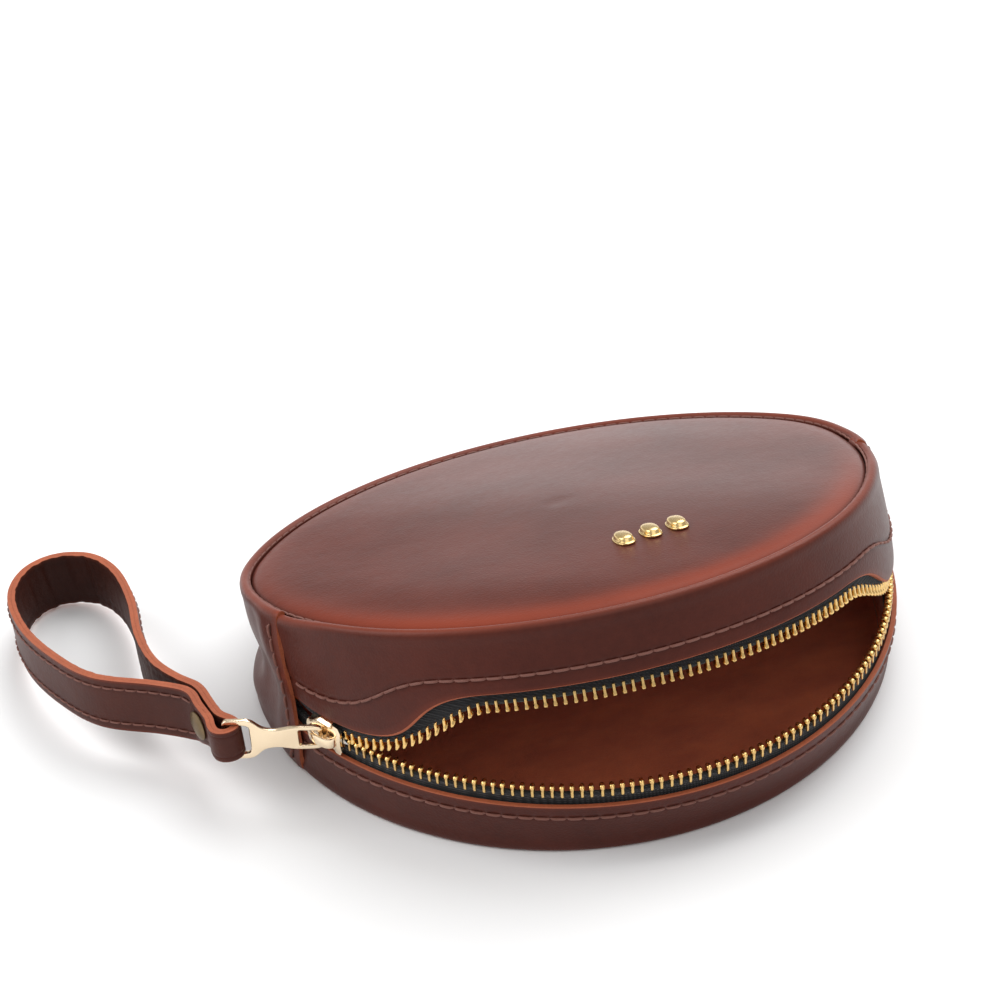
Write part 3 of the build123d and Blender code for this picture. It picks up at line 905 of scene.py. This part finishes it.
PULL_PIVOT = np.array(JOINTS["pull_swing"]["pos_m"]) / MM
STRAP_PIVOT = np.array(JOINTS["strap_swing"]["pos_m"]) / MM
PULL_DIRECTION = (STRAP_PIVOT - PULL_PIVOT) / np.linalg.norm(STRAP_PIVOT - PULL_PIVOT)
PULL_BAR = 2.0               # bar that the strap turns round
PULL_LENGTH = float(np.linalg.norm(STRAP_PIVOT - PULL_PIVOT)) + PULL_BAR / 2


def make_pull():
    """Flat frame with a slot for the bridge and an eye for the strap."""
    end, bar = PULL_LENGTH, PULL_LENGTH - PULL_BAR
    side = [(-0.65, 3.6), (1.5, 4.2), (7.6, 4.2), (13.0, 3.1), (17.0, 3.7), (end - 8.5, 7.2), (end, 7.2)]
    outline = rounded_outline(side + [(x, -y) for x, y in reversed(side)], 2.0)
    slot = rounded_outline([(0.65, -2.6), (6.6, -3.0), (6.6, 3.0), (0.65, 2.6)], 0.8)
    eye = rounded_outline([(end - 8.0, -4.9), (bar, -6.0), (bar, 6.0), (end - 8.0, 4.9)], 1.2)
    pull = plate_from_loops("pull_frame", [outline, slot, eye], 1.5, 0.34, slider_gold)
    x_axis = Vector(PULL_DIRECTION)
    z_axis = Vector((0, 0, 1))
    turn = Matrix((x_axis, z_axis, x_axis.cross(z_axis))).transposed().to_4x4()
    pull.data.transform(Matrix.Translation(Vector(PULL_PIVOT) * MM) @ turn)
    return pull


# ---------------- wrist strap
STRAP_LAYER = 1.4
STRAP_HALF = 9.0
STRAP_END_HALF = 5.1
STRAP_WRAP = 3.6             # radius of the strap's middle where it turns round the bar
STEM_HALF = 1.7              # half the space between the middles of the two runs
STRAP_HEADING = math.radians(101.0)
STRAP_DROOP = math.radians(7.0)
RIVET_AT = 12.5
STRAP_LOOP = [(30.0, 8.0), (47.0, 20.5), (67.0, 25.0), (89.0, 25.5), (110.0, 20.5), (122.0, 10.5),
              (123.5, -1.0), (115.0, -10.0), (100.0, -12.0), (80.0, -8.0), (60.0, -1.0), (43.0, 2.3),
              (30.0, 1.2)]


def strap_placed(points):
    """From strap space (x along the strap, y to its left, z up; origin at the pull's bar) to the case."""
    p = np.asarray(points, float)
    c, s = math.cos(STRAP_DROOP), math.sin(STRAP_DROOP)
    x, y, z = p[..., 0] * c + p[..., 2] * s, p[..., 1], -p[..., 0] * s + p[..., 2] * c
    ch, sh = math.cos(STRAP_HEADING), math.sin(STRAP_HEADING)
    return STRAP_PIVOT + np.stack([x * ch - y * sh, x * sh + y * ch, z], -1)


def spline(points, steps=14):
    """Catmull-Rom curve through the points, without the first and last one."""
    out = []
    for i in range(1, len(points) - 2):
        p = [np.array(points[i + k], float) for k in (-1, 0, 1, 2)]
        for k in range(steps):
            t = k / steps
            out.append(0.5 * (2 * p[1] + (p[2] - p[0]) * t + (2 * p[0] - 5 * p[1] + 4 * p[2] - p[3]) * t**2
                              + (3 * p[1] - p[0] - 3 * p[2] + p[3]) * t**3))
    return out


def strap_path():
    """Closed middle line of the strap, evenly spaced, as seen from above in strap space."""
    turn = np.linspace(1.5 * math.pi, 0.5 * math.pi, 19)
    wrap = [STRAP_WRAP * np.array([math.cos(a), math.sin(a)]) for a in turn]
    out = [(3.0, 3.0), (7.0, STEM_HALF), (13.0, STEM_HALF), (19.5, STEM_HALF)]
    back = [(19.5, -STEM_HALF), (13.0, -STEM_HALF), (7.0, -STEM_HALF), (3.0, -3.0)]
    route = [wrap[-2], wrap[-1]] + out + STRAP_LOOP + back + [wrap[0], wrap[1]]
    dense = np.array(wrap[:-1] + spline(route))
    looped = np.vstack([dense, dense[:1]])
    steps = np.linalg.norm(np.diff(looped, axis=0), axis=1)
    along = np.concatenate([[0], np.cumsum(steps)])
    even = np.arange(0, along[-1], along[-1] / 420)
    path = np.stack([np.interp(even, along, looped[:, k]) for k in range(2)], -1)
    for _ in range(3):
        path = (np.roll(path, 1, 0) + 2 * path + np.roll(path, -1, 0)) / 4
    return path


def strap_frame():
    """The strap's middle line, its outward normals and its half width at each point."""
    path = strap_path()
    forward = unit(np.roll(path, -1, 0) - np.roll(path, 1, 0))
    outer = np.stack([-forward[:, 1], forward[:, 0]], -1)
    if np.dot(outer[0], path[0] - np.array([50.0, 5.0])) < 0:
        outer = -outer
    half = STRAP_END_HALF + (STRAP_HALF - STRAP_END_HALF) * smooth((path[:, 0] - 5) / 17)
    return path, outer, half


def make_strap_layer(name, inner, material, wrinkle):
    """One leather layer of the strap: a closed ribbon whose cut edges show."""
    path, normal, half = strap_frame()
    low, high = (-STRAP_LAYER, -0.03) if inner else (0.03, STRAP_LAYER)
    across = np.linspace(-1, 1, 21)
    face = low if inner else high
    other = high if inner else low
    bend = np.linalg.norm(np.roll(normal, -1, 0) - np.roll(normal, 1, 0), axis=1)
    for _ in range(12):
        bend = (np.roll(bend, 1) + bend + np.roll(bend, -1)) / 3
    bend = np.clip(bend / 0.09, 0, 1) * smooth((path[:, 0] - 18) / 12)
    order = np.arange(len(path))
    sections = []
    for v in across:
        edge = 0.16 * max(0, abs(v) - 0.93) / 0.07
        groove = 0.22 * math.exp(-(((abs(v) - 0.70) / 0.035) ** 2))
        long_wave = 0.55 * np.sin(order * 0.62 + 1.3 * np.sin(v * 2.1 + 0.4))
        short_wave = 0.45 * np.sin(order * 1.13 + 2.4 * v)
        ripple = wrinkle * bend * (long_wave + short_wave)
        depth = face - math.copysign(edge + groove, face) + (0.32 if inner else 0.10) * ripple
        sections.append(np.column_stack([path + normal * np.reshape(depth, (-1, 1)), half * v]))
    for v in across[::-1]:
        sections.append(np.column_stack([path + normal * other, half * v]))
    grid = np.stack(sections, 1)
    columns = grid.shape[1]
    strip = [0] * (len(across) - 1) + [1] * (len(across) + 1)
    layer = loft_mesh(name, strap_placed(grid), [material, cut_edge], strip, closed=True)
    v_of = np.concatenate([across, across[::-1]])
    # Both edges of each face are painted lighter (burnishing with a painted highlight); the lining is
    # painted darker inside its bends (painted shade).
    paint(layer, "burnish_and_highlight", np.tile(0.8 * np.exp(-(((1 - abs(v_of)) / 0.05) ** 2)), len(path)))
    paint(layer, "shade", np.repeat(0.3 * bend * inner, columns))
    return layer


def strap_stitches(name, edge):
    """Row along the upper (+1) or lower (-1) edge of the strap's outer face."""
    path, normal, half = strap_frame()
    keep = path[:, 0] > 17
    start = int(np.argmax(keep & ~np.roll(keep, 1)))
    order = (start + np.arange(keep.sum())) % len(path)
    z = (half[order] - 2.8) * edge
    p = strap_placed(np.column_stack([path[order] + normal[order] * (STRAP_LAYER - 0.15), z]))
    q = strap_placed(np.column_stack([path[order] + normal[order] * (STRAP_LAYER + 0.85), z]))
    return stitch_row(name, p, q - p, radius=0.3, pitch=3.9)


def revolved(name, profile, material, place, sides=48):
    """Solid turned about local +Z from (radius, height) points, then placed."""
    rings = np.array([[(r * math.cos(t), r * math.sin(t), h) for t in around(sides)] for r, h in profile])
    faces = solid_faces(len(profile), sides)
    return joined(name, [(place(rings.reshape(-1, 3)), faces)], [material])


RIVET_CAP = [(0.2, 0.0), (4.3, 0.0), (4.6, 0.15), (4.62, 0.45), (4.4, 0.62), (4.1, 0.66), (3.7, 0.82),
             (2.8, 1.12), (1.6, 1.3), (0.1, 1.36)]
RIVET_PIN = [(1.4, -6.5), (1.5, -6.0), (1.5, -0.5), (1.4, 0.1)]


def rivet_face(side):
    """Turns local +Z to the strap's left (+1) or right (-1) face at the rivet."""
    half = STEM_HALF + STRAP_LAYER + 0.05

    def place(p):
        return strap_placed(np.stack([RIVET_AT + p[..., 0], side * (half + p[..., 2]), p[..., 1]], -1))
    return place


# ---------------- studs and stops
STUD_CENTRE = (12.0, -53.0)
STUD_SPACING = 8.6
STUD_DOME = [(0.98, 0.0), (1.0, 0.2), (1.0, 0.5), (0.95, 0.72), (0.86, 0.8), (0.83, 1.0), (0.80, 1.7),
             (0.74, 2.05), (0.60, 2.3), (0.40, 2.44), (0.04, 2.5)]
STOP_BEARING = ZIP_END - 3.0


def panel_seat(panel, x, y):
    """Height of the top panel at (x, y), with the case closed."""
    above = CLOSED_HEIGHT + 20
    start = opened(np.array([x, y, above]))
    down = start - opened(np.array([x, y, above + 1]))
    hit, place, _, _ = panel.ray_cast(Vector(start) * MM, Vector(down))
    return above - (place / MM - Vector(start)).length if hit else CLOSED_HEIGHT + 3


def rounded_stack(outline, profile, centre):
    """Closed solid from one outline, scaled at each (scale, height) of a profile."""
    rings = np.array([[(s * x, s * y, h) for x, y in outline] for s, h in profile]).reshape(-1, 3)
    return rings + centre, solid_faces(len(profile), len(outline))


def make_stud(name, x, y, z):
    """Plain oval dome on a thin flange."""
    a = around(40)
    oval = np.stack([3.1 * squared(np.cos(a), 0.85), 5.1 * squared(np.sin(a), 0.85)], -1)
    points, faces = rounded_stack(oval, STUD_DOME, [x, y, z - 0.1])
    return joined(name, [(opened(points), faces)], [stud_brass])


def make_washer(name, x, y, z):
    """Round cap on the stud's prongs, on the flesh side of the lid."""
    profile = [(0.35, -0.2), (0.38, 0.1), (0.9, 0.15), (1.0, 0.3), (1.0, 0.6), (0.9, 0.72), (0.3, 0.72)]
    a = around(32)
    ring = np.stack([2.6 * np.cos(a), 2.6 * np.sin(a)], -1)
    points, faces = rounded_stack(ring, profile, [x, y, z - LEATHER - 0.75])
    return joined(name, [(opened(points), faces)], [stud_brass])


def make_stop(name, bearing, low, high, side=0):
    """Small rounded clamp across the tape."""
    outline = rounded_outline([(-1.1, -1.5), (1.1, -1.5), (1.1, 1.5), (-1.1, 1.5)], 0.9)
    tall = high - low
    profile = [(0.75, 0), (0.95, 0.12 * tall), (1.0, 0.3 * tall), (1.0, 0.7 * tall), (0.95, 0.88 * tall),
               (0.75, tall)]
    points, faces = rounded_stack(outline, profile, [0, 0, low])
    placed = zip_place(bearing + np.degrees(points[:, 0] / TAPE_RADIUS), points[:, 1], points[:, 2], side)
    return joined(name, [(placed, faces)], [zip_brass])


# ---------------- the object
def on_body(piece, body, slot, *nodes):
    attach(piece, body)
    if nodes:
        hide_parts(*nodes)
    return piece


def bending(piece, bend, slot, *nodes):
    """Bakes the piece's transform and hides the CAD parts that it replaces."""
    [c * MM for c in bend[0]]
    [c * MM for c in bend[1]]
    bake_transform(piece)
    if nodes:
        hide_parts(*nodes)
    return piece


# leather
lid_leather = on_body(make_panel("lid_leather", top=True), "lid", "panel_leather", "top_panel")
on_body(make_panel("floor_leather", top=False), "base", "panel_leather", "bottom_panel")
on_body(make_band("lower_band"), "base", "band_leather", "lower_zip_band")
bending(make_back_wall(), WALL_BEND, "band_leather", "back_gusset")

# thread
on_body(wall_stitches("lower_stitches", CLOSED_HEIGHT - STITCH_Z), "base", "band_leather")
on_body(panel_stitches("lid_seam_stitches"), "lid", "panel_leather")
for side, end in ((-1, "left"), (1, "right")):
    bending(end_seam_stitches(f"{end}_seam_stitches", side), WALL_BEND, "band_leather")
    bending(wall_stitches(f"upper_{end}_stitches", STITCH_Z, side), BAND_BEND[side], "band_leather")

# upper band and zip, in halves
for side, end in ((-1, "left"), (1, "right")):
    bending(make_band(f"upper_{end}_band", side), BAND_BEND[side], "band_leather", "upper_zip_band")
    bending(make_tape(f"upper_{end}_tape", side), ZIP_BEND[side], "zip_tape", "upper_zip_tape")
    bending(make_teeth(f"upper_{end}_teeth", side), ZIP_BEND[side], "zip_teeth", "upper_zip_teeth")

# lower zip and stops
on_body(make_tape("lower_tape"), "base", "zip_tape", "lower_zip_tape")
on_body(make_teeth("lower_teeth"), "base", "zip_teeth", "lower_zip_teeth")
on_body(make_stop("bottom_stop", -STOP_BEARING, 21.2, 28.8), "base", "zip_stops", "zip_bottom_stop")
on_body(make_stop("lower_end_stop", STOP_BEARING, 20.6, 24.8), "base", "zip_stops", "lower_top_stop")
bending(make_stop("upper_end_stop", STOP_BEARING, 25.2, 29.4, 1), ZIP_BEND[1],
        "zip_stops", "upper_top_stop")

# studs
for index, shift in enumerate((-1, 0, 1)):
    stud_x, stud_y = STUD_CENTRE[0] + shift * STUD_SPACING, STUD_CENTRE[1]
    seat = panel_seat(lid_leather, stud_x, stud_y)
    nodes = ("stud_heads",) if index == 0 else ()
    on_body(make_stud(f"stud_{index + 1}", stud_x, stud_y, seat), "lid", "stud_brass", *nodes)
    nodes = ("stud_posts", "stud_washers") if index == 0 else ()
    on_body(make_washer(f"stud_washer_{index + 1}", stud_x, stud_y, seat), "lid", "stud_brass", *nodes)

# slider and pull
on_body(make_slider_body(), "slider", "slider_metal", "slider_body")
on_body(make_slider_nose(), "slider", "slider_metal")
on_body(make_bridge(), "slider", "slider_metal", "slider_bridge")
on_body(make_pull(), "pull", "slider_metal", "pull_tab")

# wrist strap
on_body(make_strap_layer("strap_outside", False, strap_leather, wrinkle=0.35), "wrist_strap",
        "strap_leather", "strap_outer")
on_body(make_strap_layer("strap_inside", True, lining_leather, wrinkle=1.0), "wrist_strap",
        "strap_lining", "strap_lining")
for edge, end in ((1, "upper"), (-1, "lower")):
    on_body(strap_stitches(f"strap_stitches_{end}", edge), "wrist_strap", "strap_leather")
for name, shape, face, node in (
    ("rivet_front", RIVET_CAP, 1, "strap_rivet_cap"),
    ("rivet_rear", RIVET_CAP, -1, "strap_rivet_back"),
    ("rivet_pin", RIVET_PIN, 1, "strap_rivet_post"),
):
    rivet = revolved(name, shape, rivet_brass, rivet_face(face))
    on_body(rivet, "wrist_strap", "rivet_metal", node)


# ---------------- floor, light and camera
def make_floor():
    bpy.ops.mesh.primitive_plane_add(size=6, location=(0, 0, -0.0002))
    floor = bpy.context.object
    floor.name = "floor"
    material, _, shader = new_material("floor_paper")
    shader.inputs["Base Color"].default_value = (0.86, 0.86, 0.86, 1)
    shader.inputs["Roughness"].default_value = 0.7
    floor.data.materials.append(material)


def soft_light(name, azimuth, elevation, distance, size, power):
    """Square softbox aimed at the case; size and distance in metres, power in watts."""
    data = bpy.data.lights.new(name, "AREA")
    data.size = size
    data.energy = power
    lamp = linked(name, data)
    back = toward(azimuth, elevation)
    lamp.location = back * distance
    lamp.rotation_mode = "QUATERNION"
    lamp.rotation_quaternion = back.to_track_quat("Z", "Y")


CAMERA_AZIMUTH = -18.8
CAMERA_ELEVATION = 35.3
CAMERA_ROLL = -4.4
CAMERA_AIM = (0.0075, 0.0805, 0.0)     # point of the floor at the middle of the picture
CAMERA_DISTANCE = 1.0
CAMERA_LENS = 105.5


def make_camera():
    data = bpy.data.cameras.new("camera")
    data.lens = CAMERA_LENS
    data.sensor_width = 36.0
    data.clip_start = 0.01
    data.clip_end = 50
    camera = linked("camera", data)
    back = toward(CAMERA_AZIMUTH, CAMERA_ELEVATION)
    camera.location = Vector(CAMERA_AIM) + back * CAMERA_DISTANCE
    roll = Matrix.Rotation(math.radians(CAMERA_ROLL), 3, "Z")
    turn = (-back).to_track_quat("-Z", "Y").to_matrix() @ roll
    camera.rotation_mode = "QUATERNION"
    camera.rotation_quaternion = turn.to_quaternion()
    bpy.context.scene.camera = camera


def make_world():
    world = bpy.data.worlds.new("studio")
    world.use_nodes = True
    background = world.node_tree.nodes["Background"]
    background.inputs["Color"].default_value = (1.0, 1.0, 1.0, 1)
    background.inputs["Strength"].default_value = 0.55
    bpy.context.scene.world = world


make_floor()
make_world()
soft_light("back_window", azimuth=132, elevation=52, distance=1.6, size=1.5, power=26)
soft_light("left_window", azimuth=-113, elevation=38, distance=1.7, size=1.2, power=14)
soft_light("front_fill", azimuth=-3, elevation=55, distance=2.0, size=1.6, power=8)
make_camera()
bpy.context.scene.view_settings.view_transform = "Standard"
